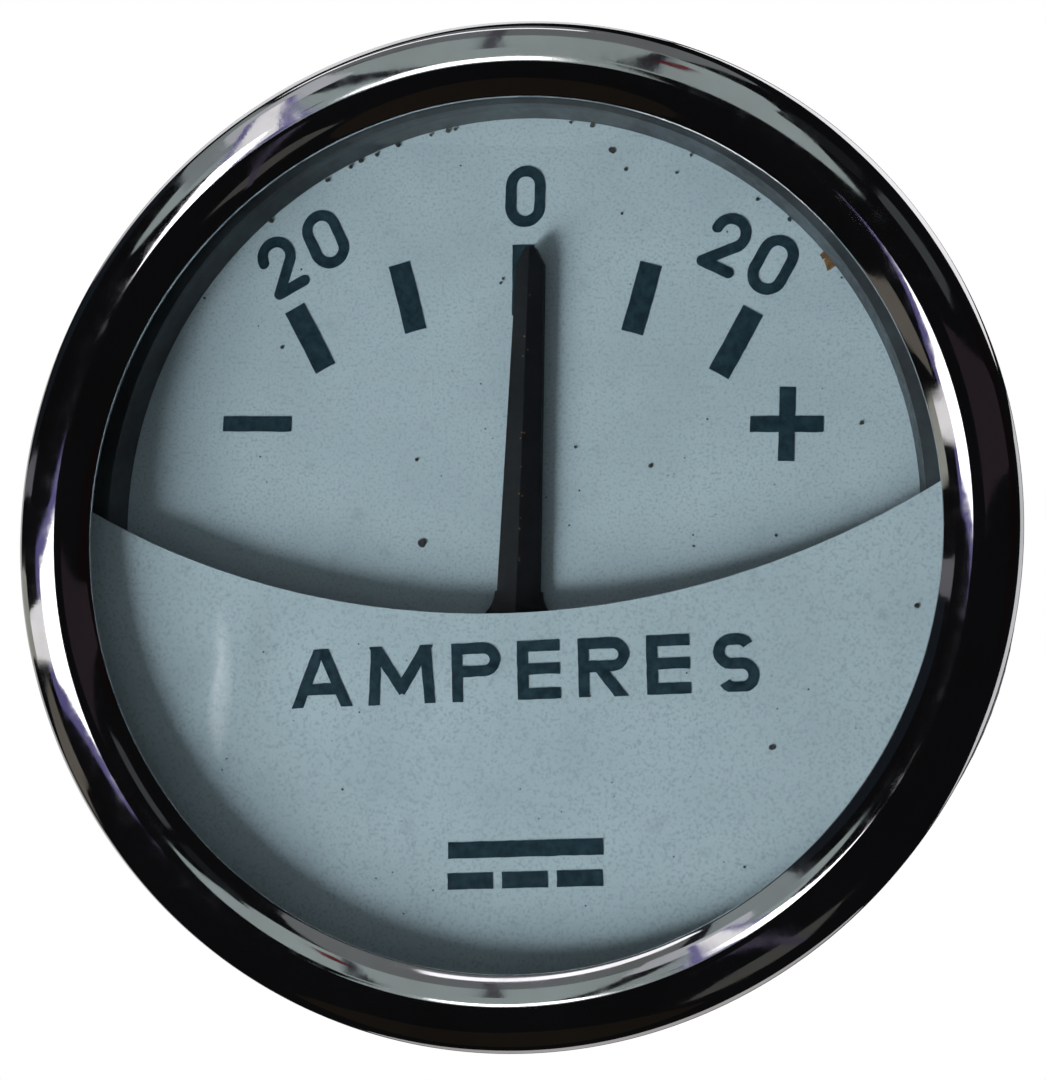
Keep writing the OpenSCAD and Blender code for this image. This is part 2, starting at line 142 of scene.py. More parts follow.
toward_camera = Vector((
    math.sin(camera_azimuth) * math.cos(camera_elevation),
    -math.cos(camera_azimuth) * math.cos(camera_elevation),
    math.sin(camera_elevation),
))
camera_turn = toward_camera.to_track_quat("Z", "Y") @ Quaternion((0, 0, 1), camera_roll)
aim = Vector((0, bezel_front, 0)) + camera_turn @ Vector((camera_aside, camera_above, 0))
camera_data = bpy.data.cameras.new("portrait_camera")
camera_data.lens = 127.9
camera_data.sensor_width = 36
camera_data.clip_start = 0.01
camera = bpy.data.objects.new("portrait_camera", camera_data)
camera.rotation_mode = "QUATERNION"
camera.rotation_quaternion = camera_turn
camera.location = aim + toward_camera * camera_distance
bpy.context.scene.collection.objects.link(camera)
bpy.context.scene.camera = camera
print("camera at", [round(v, 3) for v in camera.location])

# %% [markdown]
# ## A white room
#
# The plain light of a white room fills the shadows, and the camera sees that room as white.
# Rays from the camera, and rays off or through a shiny surface, meet white. All others meet a dim light.


# %% World
def combine(tree, operation, first, second):
    """The outcome of a sum on a socket and on another socket or a number."""
    maths = tree.nodes.new("ShaderNodeMath")
    maths.operation = operation
    tree.links.new(first, maths.inputs[0])
    if hasattr(second, "is_output"):
        tree.links.new(second, maths.inputs[1])
    else:
        maths.inputs[1].default_value = second
    return maths.outputs[0]


def seen_by(tree, *kinds):
    """A socket that is 1 for rays of any of these kinds and 0 for all others."""
    path = tree.nodes.new("ShaderNodeLightPath")
    answer = path.outputs[kinds[0]]
    for kind in kinds[1:]:
        answer = combine(tree, "MAXIMUM", answer, path.outputs[kind])
    return answer


def background(tree, colour, strength):
    """The light of a background of one colour."""
    light = tree.nodes.new("ShaderNodeBackground")
    light.inputs["Color"].default_value = (*colour, 1)
    light.inputs["Strength"].default_value = strength
    return light.outputs[0]


EYE_RAYS = ("Is Camera Ray", "Is Glossy Ray", "Is Transmission Ray")
room_strength = 0.25
world = bpy.data.worlds.new("white_room")
bpy.context.scene.world = world
bpy.context.scene.view_settings.view_transform = "Standard"
world.use_nodes = True
sky = world.node_tree
sky.nodes.clear()
choose = sky.nodes.new("ShaderNodeMixShader")
sky.links.new(seen_by(sky, *EYE_RAYS), choose.inputs["Fac"])
sky.links.new(background(sky, (0.95, 0.98, 1.0), room_strength), choose.inputs[1])
sky.links.new(background(sky, (1.0, 1.0, 1.0), 1.0), choose.inputs[2])
sky_out = sky.nodes.new("ShaderNodeOutputWorld")
sky.links.new(choose.outputs[0], sky_out.inputs["Surface"])
print("room light", room_strength)

# %% [markdown]
# ## Lamps
#
# A small soft lamp at the lower left throws the shadows of bezel, pointer and mask on the dial.
# A wide one further round softens them towards the left and the bottom.
# The third, behind, lights the case for whoever looks there.


# %% Lamps
def direction(azimuth, elevation):
    """Where a point of the room lies, seen from the meter: degrees to the right and degrees up."""
    across = math.radians(azimuth)
    up = math.radians(elevation)
    return Vector((math.sin(across) * math.cos(up), -math.cos(across) * math.cos(up), math.sin(up)))


def soft_lamp(name, azimuth, elevation, distance, size, watts, colour):
    """A round soft lamp that faces the meter and doesn't show in the chrome."""
    data = bpy.data.lights.new(name, "AREA")
    data.shape = "DISK"
    data.size = size
    data.energy = watts
    data.color = colour
    lamp = bpy.data.objects.new(name, data)
    where = direction(azimuth, elevation)
    lamp.location = where * distance
    lamp.rotation_mode = "QUATERNION"
    lamp.rotation_quaternion = where.to_track_quat("Z", "Y")
    lamp.visible_glossy = False
    bpy.context.scene.collection.objects.link(lamp)
    print(name, watts, "W")


soft_lamp("window_lamp", -41, -32, 0.30, 0.075, 0.56, (1.0, 0.98, 0.985))
soft_lamp("side_lamp", -59, -37, 0.80, 0.38, 8.0, (1.0, 0.98, 0.985))
soft_lamp("back_lamp", 150, 35, 0.9, 0.30, 3.4, (1.0, 0.98, 0.96))

# %% [markdown]
# ## A tent and its cards
#
# Chrome shows only what stands round it. So the meter looks out of a dark tent, with cards hung inside.
# Each card glows with one plain colour, and stands for a wall, a beam, a window or a lamp of a workshop.
# Only mirrors and glass see the tent and the cards: they neither light the dial nor show in the picture.


# %% Tent
def glow_paint(name, colour):
    """A surface that shows one plain colour, whatever light falls on it."""
    paint = bpy.data.materials.new(name)
    paint.use_nodes = True
    tree = paint.node_tree
    tree.nodes.clear()
    glow = tree.nodes.new("ShaderNodeEmission")
    glow.inputs["Color"].default_value = (*colour, 1)
    out = tree.nodes.new("ShaderNodeOutputMaterial")
    tree.links.new(glow.outputs[0], out.inputs["Surface"])
    return paint


def stage_piece(name, shape, colour):
    """Studio furniture that only mirrors and glass see."""
    piece = make_object(name, shape, glow_paint(name + "_paint", colour))
    piece.visible_camera = False
    piece.visible_diffuse = False
    piece.visible_shadow = False


tent_radius = 0.90
tent_depth = 0.76
tent = bmesh.new()
bmesh.ops.create_icosphere(tent, subdivisions=4, radius=tent_radius)
bmesh.ops.bisect_plane(
    tent, geom=tent.verts[:] + tent.edges[:] + tent.faces[:],
    plane_co=(0, tent_depth, 0), plane_no=(0, 1, 0), clear_outer=True,
)
stage_piece("tent", tent, (0.0040, 0.0042, 0.0046))
print("a tent of radius", tent_radius, "m")

# %% Cards
CORNER_SHARE = 0.4


def card(name, azimuth, elevation, width, height, colour, turn=0, distance=0.70):
    """A flat card hung in the tent. Its width, height and turn are in degrees, as the meter sees them."""
    half_width = distance * math.tan(math.radians(width / 2))
    half_height = distance * math.tan(math.radians(height / 2))
    flat = bmesh.new()
    bmesh.ops.create_grid(flat, x_segments=1, y_segments=1, size=1)
    bmesh.ops.scale(flat, vec=(half_width, half_height, 1), verts=flat.verts)
    corner = min(half_width, half_height) * CORNER_SHARE
    bmesh.ops.bevel(
        flat, geom=flat.verts[:], affect="VERTICES", offset=corner, segments=4, profile=0.5, material=-1,
    )
    where = direction(azimuth, elevation)
    facing = where.to_track_quat("Z", "Y").to_matrix().to_4x4()
    spin = Matrix.Rotation(math.radians(turn), 4, "Z")
    bmesh.ops.transform(flat, matrix=Matrix.Translation(where * distance) @ facing @ spin, verts=flat.verts)
    stage_piece(name, flat, colour)


# the room beyond, nearly dark
card("navy_wall", -78, 26, 66, 30, (0.0085, 0.0115, 0.0150), distance=0.84)
card("brown_floor", -20, -48, 80, 40, (0.0100, 0.0080, 0.0060), distance=0.84)
card("right_wall", 52, 10, 60, 50, (0.0050, 0.0032, 0.0034), distance=0.84)
card("right_band", 28, 14, 56, 9, (0.020, 0.015, 0.018), turn=8, distance=0.82)
# the pale wall above and the ceiling
card("ceiling", -24, 59, 66, 34, (0.13, 0.14, 0.14), distance=0.83)
card("upper_wall", -19, 31, 40, 22, (0.26, 0.31, 0.30), distance=0.81)
card("upper_wall_foot", -17, 17, 10, 9, (0.26, 0.31, 0.30), distance=0.80)
card("upper_wall_left", -47, 36, 40, 10, (0.20, 0.23, 0.23), turn=-32, distance=0.80)
card("beam_one", -40, 38, 44, 2.2, (0.010, 0.011, 0.014), turn=-36, distance=0.78)
card("beam_two", -27, 30, 26, 1.6, (0.012, 0.013, 0.016), turn=-52, distance=0.78)
card("beam_three", -8, 31, 20, 1.3, (0.020, 0.020, 0.024), turn=75, distance=0.78)
card("beam_four", -20, 40, 22, 1.2, (0.060, 0.060, 0.070), turn=-78, distance=0.77)
card("red_spot", -5, 34, 5, 2, (0.10, 0.012, 0.018), turn=60, distance=0.76)
card("notch", 9, 33, 7, 9, (0.010, 0.011, 0.012), turn=-40, distance=0.77)
card("right_patch", 17, 26, 9, 8, (0.045, 0.050, 0.050), turn=-50, distance=0.79)
# the side of the room to the left
card("left_wall", -90, -2, 62, 8, (0.30, 0.31, 0.27), distance=0.80)
card("left_shelf", -80, 10, 50, 3, (0.11, 0.11, 0.12), distance=0.80)
card("left_table", -70, -15, 44, 8, (0.11, 0.10, 0.085), turn=17, distance=0.80)
card("left_window_halo", -35, 1, 23, 9.5, (0.10, 0.09, 0.23), turn=8, distance=0.72)
card("left_window", -33, 1.5, 18, 6, (2.2, 2.2, 2.2), turn=8)
card("left_window_tail", -51, -1.5, 24, 3.4, (0.9, 0.9, 0.9), turn=8)
# the room behind, for the case and the bridge
card("behind", 180, -5, 70, 70, (0.010, 0.010, 0.010), distance=0.82)
card("back_window", 138, 46, 60, 40, (1.0, 1.0, 1.0), distance=0.80)
card("back_door", 132, -3, 56, 40, (0.62, 0.63, 0.64), distance=0.81)
card("back_wall", -138, 46, 60, 40, (0.80, 0.81, 0.82), distance=0.80)
card("back_shelf", -132, -3, 56, 40, (0.45, 0.45, 0.44), distance=0.81)
card("back_table", 180, -52, 150, 44, (0.42, 0.41, 0.40), distance=0.80)
# narrow lights
card("high_lamp_halo", -30, 25, 29, 4.0, (0.13, 0.115, 0.28), turn=-52, distance=0.72)
card("high_lamp", -31, 26, 26, 2.4, (0.85, 0.85, 0.85), turn=-52)
card("high_lamp_near", -24.7, 15.8, 10, 2.8, (2.8, 2.8, 2.8), turn=-62, distance=0.69)
card("ceiling_lamp", -16.5, 17.5, 5, 4, (2.6, 2.6, 2.6), distance=0.69)
card("pale_patch", -38, 35, 13, 9, (0.42, 0.44, 0.46), turn=-40, distance=0.75)
card("ceiling_strip", -40, 55, 30, 6, (1.3, 1.3, 1.35), turn=18)
card("low_streak", 3, -20, 34, 1.0, (0.045, 0.040, 0.060), turn=-50)
card("low_patch", 7, -27, 12, 9, (0.055, 0.055, 0.050), distance=0.75)
print("cards hung")

# %% [markdown]
# ## The floor
#
# A wide pale disc lies below the tent. It is lifted to white in the same way as the world,
# so that it meets the background without a line.

# %% Floor
floor_height = -0.95
floor_radius = 6.0
floor_lift = 0.74
floor_paint = bpy.data.materials.new("floor_paint")
floor_paint.use_nodes = True
floor_tree = floor_paint.node_tree
floor_shader = floor_tree.nodes["Principled BSDF"]
floor_shader.inputs["Base Color"].default_value = (0.86, 0.86, 0.86, 1)
floor_shader.inputs["Roughness"].default_value = 0.8
floor_shader.inputs["Emission Color"].default_value = (1, 1, 1, 1)
floor_glow = combine(floor_tree, "MULTIPLY", seen_by(floor_tree, *EYE_RAYS), floor_lift)
floor_tree.links.new(floor_glow, floor_shader.inputs["Emission Strength"])
floor_shape = bmesh.new()
bmesh.ops.create_circle(floor_shape, cap_ends=True, segments=96, radius=floor_radius)
bmesh.ops.translate(floor_shape, vec=(0, 0, floor_height), verts=floor_shape.verts)
floor = make_object("floor", floor_shape, floor_paint)
print("floor at", floor_height)

# %% [markdown]
# ## A finisher's bench
#
# Real surfaces vary: paint is mottled, metal is scratched and both hold dust.
# A few small helpers make that from noise read at each point of the piece, so it rides with the piece.


# %% Material helpers
def linear(red, green, blue):
    """A colour given as it looks on a screen, from 0 to 255, as light."""
    return tuple(Color((red / 255, green / 255, blue / 255)).from_srgb_to_scene_linear())


def new_finish(name, colour, metallic=0.0, roughness=0.5, **more):
    """A material with one Principled shader and its uniform values set on the shader."""
    finish = bpy.data.materials.new(name)
    finish.use_nodes = True
    shader = shader_of(finish)
    shader.inputs["Base Color"].default_value = (*colour, 1)
    shader.inputs["Metallic"].default_value = metallic
    shader.inputs["Roughness"].default_value = roughness
    for socket, value in more.items():
        shader.inputs[socket.replace("_", " ")].default_value = value
    return finish


def shader_of(finish):
    """The Principled shader of a material."""
    return finish.node_tree.nodes["Principled BSDF"]


def feed(finish, value, socket):
    """Links a value or colour to a socket of the material's shader."""
    finish.node_tree.links.new(value, shader_of(finish).inputs[socket])


print("a mid grey of 128 is", round(linear(128, 128, 128)[0], 3), "as light")


# %% Pattern helpers
def noise(finish, size_mm, detail=3.0, stretch=(1, 1, 1), shift=0.0):
    """Noise between 0 and 1 whose patches are about size_mm across, read at each point of the piece."""
    tree = finish.node_tree
    where = tree.nodes.new("ShaderNodeTexCoord")
    moved = tree.nodes.new("ShaderNodeMapping")
    moved.inputs["Scale"].default_value = stretch
    moved.inputs["Location"].default_value = (shift, shift, shift)
    cloud = tree.nodes.new("ShaderNodeTexNoise")
    cloud.inputs["Scale"].default_value = 1 / (size_mm * MM)
    cloud.inputs["Detail"].default_value = detail
    tree.links.new(where.outputs["Object"], moved.inputs["Vector"])
    tree.links.new(moved.outputs["Vector"], cloud.inputs["Vector"])
    return cloud.outputs["Fac"]


def remap(finish, value, low, high, out_low=0.0, out_high=1.0):
    """Stretches a value from one range to another, and holds it inside the second."""
    tree = finish.node_tree
    bend = tree.nodes.new("ShaderNodeMapRange")
    bend.clamp = True
    bend.inputs["From Min"].default_value = low
    bend.inputs["From Max"].default_value = high
    bend.inputs["To Min"].default_value = out_low
    bend.inputs["To Max"].default_value = out_high
    tree.links.new(value, bend.inputs["Value"])
    return bend.outputs["Result"]


def blend_colours(finish, share, first, second):
    """A colour that goes from first to second as share goes from 0 to 1."""
    tree = finish.node_tree
    mixer = tree.nodes.new("ShaderNodeMix")
    mixer.data_type = "RGBA"
    sockets = [s for s in mixer.inputs if s.type == "RGBA"]
    for socket, colour in zip(sockets, (first, second)):
        if hasattr(colour, "is_output"):
            tree.links.new(colour, socket)
        else:
            socket.default_value = (*colour, 1)
    tree.links.new(share, mixer.inputs["Factor"])
    return [s for s in mixer.outputs if s.type == "RGBA"][0]


def raise_bumps(finish, height, depth_mm, under=None):
    """Raises the surface by a height value times a depth, for light only."""
    tree = finish.node_tree
    bump = tree.nodes.new("ShaderNodeBump")
    bump.inputs["Distance"].default_value = depth_mm * MM
    tree.links.new(height, bump.inputs["Height"])
    if under is not None:
        tree.links.new(under, bump.inputs["Normal"])
    feed(finish, bump.outputs["Normal"], "Normal")
    return bump.outputs["Normal"]


def mottled(name, dark, pale, size_mm, rough=(0.5, 0.7), metallic=0.0, bump_mm=0.004, **more):
    """A finish whose colour drifts from dark to pale and whose gloss drifts too, over a faint unevenness."""
    finish = new_finish(name, pale, metallic, **more)
    patches = noise(finish, size_mm, detail=5.0)
    feed(finish, blend_colours(finish, remap(finish, patches, 0.35, 0.65), dark, pale), "Base Color")
    fine = noise(finish, size_mm / 6, shift=3.0)
    feed(finish, remap(finish, fine, 0.3, 0.7, *rough), "Roughness")
    raise_bumps(finish, fine, bump_mm)
    return finish


print("pattern helpers ready")

# %% [markdown]
# ## Chrome
#
# Old chrome is a mirror that isn't quite true. The spun sheet under it waves over some millimetres,
# fine polishing marks break up its highlights, and its tint drifts where it has been handled.
# The wave and the marks are two bumps, one laid over the other.

# %% Chrome
chrome = new_finish("bezel_chrome", (0.80, 0.79, 0.80), 1.0, 0.04)
chrome_tint = remap(chrome, noise(chrome, 6.0, 4.0), 0.35, 0.65)
feed(chrome, blend_colours(chrome, chrome_tint, (0.72, 0.70, 0.71), (0.84, 0.83, 0.85)), "Base Color")
feed(chrome, remap(chrome, noise(chrome, 1.2, 4.0, shift=2.0), 0.4, 0.75, 0.035, 0.10), "Roughness")
chrome_wave = raise_bumps(chrome, noise(chrome, 7.0, 1.0, shift=5.0), 0.030)
raise_bumps(chrome, noise(chrome, 0.5), 0.0006, chrome_wave)
print(chrome.name, len(chrome.node_tree.nodes), "nodes")

# %% [markdown]
# ## Dial paint
#
# Both plates are painted a cool pale grey, sprayed thin enough to show a grain.
# Three patterns lie over each other: broad clouds, a fine speckle and a few darker stains.

# %% Dial paint
dial_paint = new_finish("dial_paint", linear(158, 174, 181), 0.0, 0.6, Specular_IOR_Level=0.3)
cloud_share = remap(dial_paint, noise(dial_paint, 6.0), 0.3, 0.7)
dial_clouds = blend_colours(dial_paint, cloud_share, linear(153, 168, 176), linear(162, 177, 185))
dial_grain = remap(dial_paint, noise(dial_paint, 0.16, 2.0, shift=1.0), 0.30, 0.50)
dial_speckle = blend_colours(dial_paint, dial_grain, linear(139, 155, 162), dial_clouds)
dial_stain = remap(dial_paint, noise(dial_paint, 1.3, 4.0, shift=4.0), 0.62, 0.80, 0.0, 0.35)
feed(dial_paint, blend_colours(dial_paint, dial_stain, dial_speckle, linear(120, 136, 142)), "Base Color")
feed(dial_paint, remap(dial_paint, noise(dial_paint, 0.4, 2.0), 0.3, 0.7, 0.5, 0.72), "Roughness")
raise_bumps(dial_paint, noise(dial_paint, 0.18, shift=2.0), 0.006)
print(dial_paint.name, len(dial_paint.node_tree.nodes), "nodes")

# %% [markdown]
# ## Ink, plastic, metals and fibre
#
# The other finishes share one recipe, because each differs only in its two colours,
# the size of its patches and how rough it is.
# Ink and plastic mirror little, so that the room's white stays out of them.

# %% Mottled finishes
ring_paint = mottled("ring_paint", linear(26, 31, 35), linear(44, 52, 57), 3.0)
ink = mottled("dial_ink", linear(12, 28, 36), linear(30, 50, 59), 0.5, Specular_IOR_Level=0.2)
pointer_black = mottled(
    "pointer_plastic", linear(3, 5, 8), linear(11, 14, 18), 0.8, rough=(0.4, 0.55), Specular_IOR_Level=0.25,
)
case_steel = mottled(
    "case_steel", (0.52, 0.52, 0.50), (0.66, 0.65, 0.62), 3.0,
    rough=(0.26, 0.36), metallic=1.0, bump_mm=0.0005,
)
bright_steel = mottled(
    "bright_steel", (0.56, 0.56, 0.57), (0.70, 0.70, 0.71), 2.0,
    rough=(0.18, 0.30), metallic=1.0, bump_mm=0.0004,
)
magnet_steel = mottled(
    "magnet_steel", (0.05, 0.05, 0.055), (0.12, 0.12, 0.125), 1.5, rough=(0.4, 0.6), metallic=0.6,
)
soft_iron = mottled(
    "soft_iron", (0.18, 0.18, 0.19), (0.32, 0.32, 0.33), 1.5, rough=(0.35, 0.5), metallic=0.9,
)
brass = mottled(
    "brass", (0.62, 0.45, 0.20), (0.78, 0.60, 0.29), 2.4, rough=(0.2, 0.34), metallic=1.0, bump_mm=0.0004,
)
copper = mottled("copper", (0.55, 0.26, 0.16), (0.75, 0.42, 0.28), 1.6, rough=(0.22, 0.38), metallic=1.0)
fibre = mottled("fibre", (0.14, 0.045, 0.022), (0.22, 0.08, 0.04), 1.2)
rubber = mottled("gasket_rubber", (0.015, 0.015, 0.015), (0.03, 0.03, 0.03), 1.0, rough=(0.6, 0.8))
print("eleven mottled finishes")

# %% [markdown]
# ## Window glass
#
# Real glass bends light, and a path tracer then has trouble finding the lamps through it.
# So rays that ask for light, and rays off matt paint, pass as through clear film with a slight tint.
# All others meet true glass, and mirror the cards.

# %% Glass
window_glass = new_finish("window_glass", (0.95, 0.98, 0.98), 0.0, 0.0, IOR=1.48, Transmission_Weight=1.0)
glass_tree = window_glass.node_tree
glass_film = glass_tree.nodes.new("ShaderNodeBsdfTransparent")
glass_film.inputs["Color"].default_value = (0.90, 0.93, 0.93, 1)
glass_choose = glass_tree.nodes.new("ShaderNodeMixShader")
glass_tree.links.new(seen_by(glass_tree, "Is Shadow Ray", "Is Diffuse Ray"), glass_choose.inputs["Fac"])
glass_tree.links.new(shader_of(window_glass).outputs[0], glass_choose.inputs[1])
glass_tree.links.new(glass_film.outputs[0], glass_choose.inputs[2])
glass_tree.links.new(glass_choose.outputs[0], glass_tree.nodes["Material Output"].inputs["Surface"])
print(window_glass.name, len(glass_tree.nodes), "nodes")

# %% [markdown]
# ## Dressing the solids
#
# Each solid's row in the frame names the finish it should have, so one loop dresses them all.

# %% Dress the solids
finish_of_slot = {
    "bezel_chrome": chrome, "window_glass": window_glass, "gasket_rubber": rubber,
    "dial_paint": dial_paint, "ring_paint": ring_paint, "case_steel": case_steel,
    "bright_steel": bright_steel, "magnet_steel": magnet_steel, "soft_iron": soft_iron,
    "brass": brass, "copper": copper, "fibre": fibre, "pointer_plastic": pointer_black,
}
for row in frame["record"]["subparts"]:
    solid = nodes[row["node"]]
    solid.data.materials.clear()
    solid.data.materials.append(finish_of_slot[row["material_slot"]])
    print(row["node"], len(solid.data.polygons), row["material_slot"])

# %% [markdown]
# ## The print
#
# The dial was screen printed, so every sign is a stroke of even width, a hair thick.
# A pen draws it: a nib of two short edges is swept along straight lines and round bends.
# Spinning one half of the nib about its middle gives a stroke its round end.
# The same pen will draw the section of the bezel, which is a sheet of even thickness.

# %% A pen that draws strokes
INK_THICK = 0.03
STROKE_RISE = 0.002
STRIDE = 0.4
ROUND_END_STEPS = 10
WELD = 0.0005


class Pen:
    """Draws strokes on the drawing board. It keeps its place, its heading and the nib's two edges."""

    def __init__(self, width, step=0.3):
        """A pen whose nib has a width. A bend takes a step for each such length of its outer side."""
        self.shape = bmesh.new()
        self.step = step
        self.half = width / 2
        self.strokes = 0

    def start(self, x, y, heading, round_end=True):
        """Puts the nib down at a place, ready to move along a heading in degrees."""
        self.place = Vector((x, y, 0))
        self.heading = math.radians(heading)
        side = self.across() * self.half
        left = self.shape.verts.new(self.place + side)
        middle = self.shape.verts.new(self.place)
        right = self.shape.verts.new(self.place - side)
        self.nib = [self.shape.edges.new((left, middle)), self.shape.edges.new((middle, right))]
        self.old_faces = set(self.shape.faces)
        if round_end:
            self.cap(-1)
        return self

    def across(self):
        """The direction to the pen's left."""
        return Vector((-math.sin(self.heading), math.cos(self.heading), 0))

    def along(self):
        """The direction ahead of the pen."""
        return Vector((math.cos(self.heading), math.sin(self.heading), 0))

    def cap(self, side):
        """Spins the nib's left edge half a turn about its middle: behind the pen for -1, ahead for 1."""
        edge = self.nib[0]
        bmesh.ops.spin(
            self.shape, geom=[edge, *edge.verts], cent=self.place, axis=(0, 0, 1),
            angle=-side * math.pi, steps=ROUND_END_STEPS, use_merge=False, use_duplicate=False,
        )

    def forward(self, length):
        """Draws a straight stretch, in steps short enough for the ink's edge to creep."""
        steps = max(1, round(length / STRIDE))
        for step in range(steps):
            grown = bmesh.ops.extrude_edge_only(self.shape, edges=self.nib)["geom"]
            verts = of_kind(grown, bmesh.types.BMVert)
            bmesh.ops.translate(self.shape, vec=self.along() * (length / steps), verts=verts)
            self.place = self.place + self.along() * (length / steps)
            self.take_nib(grown)
        return self

    def bend(self, radius, degrees):
        """Draws an arc of a radius, to the left for a positive angle and to the right for a negative one."""
        turn = math.radians(degrees)
        centre = self.place + self.across() * math.copysign(radius, degrees)
        steps = max(2, round(abs(turn) * (radius + self.half) / self.step))
        verts = dict.fromkeys(vert for edge in self.nib for vert in edge.verts)
        last = bmesh.ops.spin(
            self.shape, geom=[*self.nib, *verts], cent=centre, axis=(0, 0, 1),
            angle=turn, steps=steps, use_merge=False, use_duplicate=False,
        )["geom_last"]
        self.place = centre + Matrix.Rotation(turn, 3, "Z") @ (self.place - centre)
        self.heading += turn
        self.take_nib(last)
        return self

    def take_nib(self, geometry):
        """Finds the nib's edges in what the last move made, left one first."""
        side = self.across()
        edges = of_kind(geometry, bmesh.types.BMEdge)
        edges = [e for e in edges if abs((e.verts[0].co - e.verts[1].co).normalized().dot(side)) > 0.9]
        edges.sort(key=lambda e: -sum((v.co - self.place).dot(side) for v in e.verts))
        self.nib = edges[:1] + edges[-1:]

    def new_faces(self):
        """The faces of the stroke being drawn."""
        return [face for face in self.shape.faces if face not in self.old_faces]

    def lift(self, round_end=True):
        """Ends the stroke and raises it to its own thickness, so that no two strokes share a face."""
        if round_end:
            self.cap(1)
        verts = dict.fromkeys(vert for face in self.new_faces() for vert in face.verts)
        bmesh.ops.remove_doubles(self.shape, verts=list(verts), dist=WELD)
        raised = bmesh.ops.extrude_face_region(self.shape, geom=self.new_faces())["geom"]
        height = INK_THICK + STROKE_RISE * self.strokes
        bmesh.ops.translate(self.shape, vec=(0, 0, height), verts=of_kind(raised, bmesh.types.BMVert))
        self.strokes += 1
        return self


print("a pen for ink", INK_THICK, "mm thick")


# %% Signs and figures
# without a seed this noise would shift at random, and every run would print another edge
solid_noise.seed_set(11)


def roughen(shape, amount=0.035, size=0.45):
    """Shifts the outline's points a little, as ink creeps at its edge."""
    for vert in shape.verts:
        creep = solid_noise.noise_vector(Vector((vert.co.x, vert.co.y, 0)) / size)
        vert.co.x += creep.x * amount
        vert.co.y += creep.y * amount


def square_stroke(pen, x, y, heading, length):
    """One straight stroke with square ends."""
    pen.start(x, y, heading, round_end=False).forward(length).lift(round_end=False)


def upright_bar(width, height):
    """A printed bar with sharp corners, centred."""
    pen = Pen(width)
    square_stroke(pen, 0, -height / 2, 90, height)
    return pen.shape


def figure_zero(width=2.3, height=3.5, stroke=0.62):
    """A zero: two straight sides joined by two half circles."""
    pen = Pen(stroke)
    radius = (width - stroke) / 2
    side = height - stroke - 2 * radius
    pen.start(radius, -side / 2, 90, round_end=False)
    pen.forward(side).bend(radius, 180).forward(side).bend(radius, 180).lift(round_end=False)
    return pen.shape


def figure_two(width=2.3, height=3.5, stroke=0.62, over_the_top=215):
    """A two: over the top, then down the slant to the foot, which is a stroke of its own."""
    pen = Pen(stroke)
    radius = (width - stroke) / 2
    top = (height - stroke) / 2
    foot = -top
    pen.start(-radius, top - radius, 90).bend(radius, -over_the_top)
    reach_x = pen.place.x + radius
    reach_y = pen.place.y - foot
    pen.heading = math.atan2(-reach_y, -reach_x)
    pen.forward(math.hypot(reach_x, reach_y)).lift()
    pen.start(-radius, foot, 0).forward(2 * radius).lift()
    return pen.shape


def minus_sign(width=4.1, stroke=0.88):
    """A level bar, centred."""
    pen = Pen(stroke)
    square_stroke(pen, -width / 2, 0, 0, width)
    return pen.shape


def plus_sign(width=4.1, stroke=0.9):
    """A level bar and an upright one."""
    pen = Pen(stroke)
    square_stroke(pen, -width / 2, 0, 0, width)
    square_stroke(pen, 0, -width / 2, 90, width)
    return pen.shape


def printed(name, shape, place, turn, face):
    """Lays a print on one of the dial's plates, turned clockwise by an angle in degrees."""
    roughen(shape)
    where = Matrix.Translation((place[0], place[1], face))
    bmesh.ops.transform(shape, matrix=where @ Matrix.Rotation(-math.radians(turn), 4, "Z"), verts=shape.verts)
    finish_piece(name, shape, ink)


def on_arc(radius, angle):
    """A place at a distance from the pivot, at an angle in degrees to the right of upright."""
    lean = math.radians(angle)
    return (PIVOT.x + radius * math.sin(lean), PIVOT.y + radius * math.cos(lean))


print("signs are drawn about the pivot at", tuple(round(v, 2) for v in PIVOT.xy))

# %% Scale print
tick_width, tick_height = 1.28, 4.0
print_aside = 0.15
# each tick's angle, and the radius of its middle: the print sits a little off the pivot
ticks = {
    "full_left": (-28.7, 26.2), "half_left": (-15.2, 26.1), "zero": (-0.2, 26.0),
    "half_right": (15.2, 25.7), "full_right": (28.6, 25.3),
}
for name, (angle, radius) in ticks.items():
    x, y = on_arc(radius, angle)
    printed("tick_" + name, upright_bar(tick_width, tick_height), (x + print_aside, y), angle, scale_face)

# each figure's place and its turn
figures = [
    ("figure_zero", figure_zero(), 0.02, 19.25, 1),
    ("left_two", figure_two(), -14.35, 15.70, -28),
    ("left_zero", figure_zero(), -11.72, 17.15, -26),
    ("right_two", figure_two(), 11.57, 16.25, 26),
    ("right_zero", figure_zero(), 14.20, 14.97, 29),
    ("minus_sign", minus_sign(), -15.58, 6.62, 1.2),
    ("plus_sign", plus_sign(), 15.05, 6.10, 1.0),
]
for name, shape, x, y, turn in figures:
    printed(name, shape, (x, y), turn, scale_face)

# %% [markdown]
# ## The unit's name
#
# The lower plate carries the unit in plain drawn capitals, a stroke or two to each.
# Slanting strokes are drawn a little too long and cut off level, as a printer's stencil would be.
# The maker's sign below the name is left out. The plain sign for direct current takes its place.
# It is a bar over three dashes, as on many meters.

# %% Letters
CAP = 3.25
LETTER_STROKE = 0.62
letter_width = {"A": 3.5, "M": 3.9, "P": 2.8, "E": 2.5, "R": 2.9, "S": 2.6}


